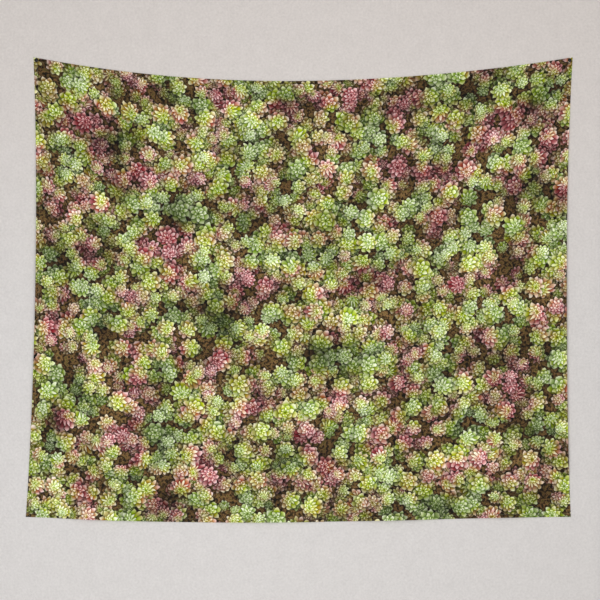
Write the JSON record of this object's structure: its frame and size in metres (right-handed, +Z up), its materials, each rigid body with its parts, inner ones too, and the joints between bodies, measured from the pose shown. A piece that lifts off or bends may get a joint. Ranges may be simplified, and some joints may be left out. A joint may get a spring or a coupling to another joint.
{
  "type": "wall tapestry",
  "caption": "Thin hemmed cloth panel with an all-over succulent print, hung flat on a wall by a domed pin at each top corner.",
  "frame": {"origin": "on the wall plane, halfway between the two pins' axes", "axes": "+X to the right along the wall, +Y out of the cloth's back into the wall, so the printed front faces -Y, +Z up"},
  "size_m": [1.5418, 0.0264, 1.3117],
  "materials": {
    "printed_cloth": "matte woven polyester, printed on the front",
    "sewing_thread": "twisted polyester thread",
    "pin_head": "black, slightly glossy",
    "pin_needle": "bright"
  },
  "bodies": {
    "root": {"cloth_panel": "printed_cloth", "hem_thread_top": "sewing_thread", "hem_thread_bottom": "sewing_thread", "hem_thread_left": "sewing_thread", "hem_thread_right": "sewing_thread", "pin_head_left": "pin_head", "pin_head_right": "pin_head", "pin_needle_left": "pin_needle", "pin_needle_right": "pin_needle"}
  },
  "joints": []
}
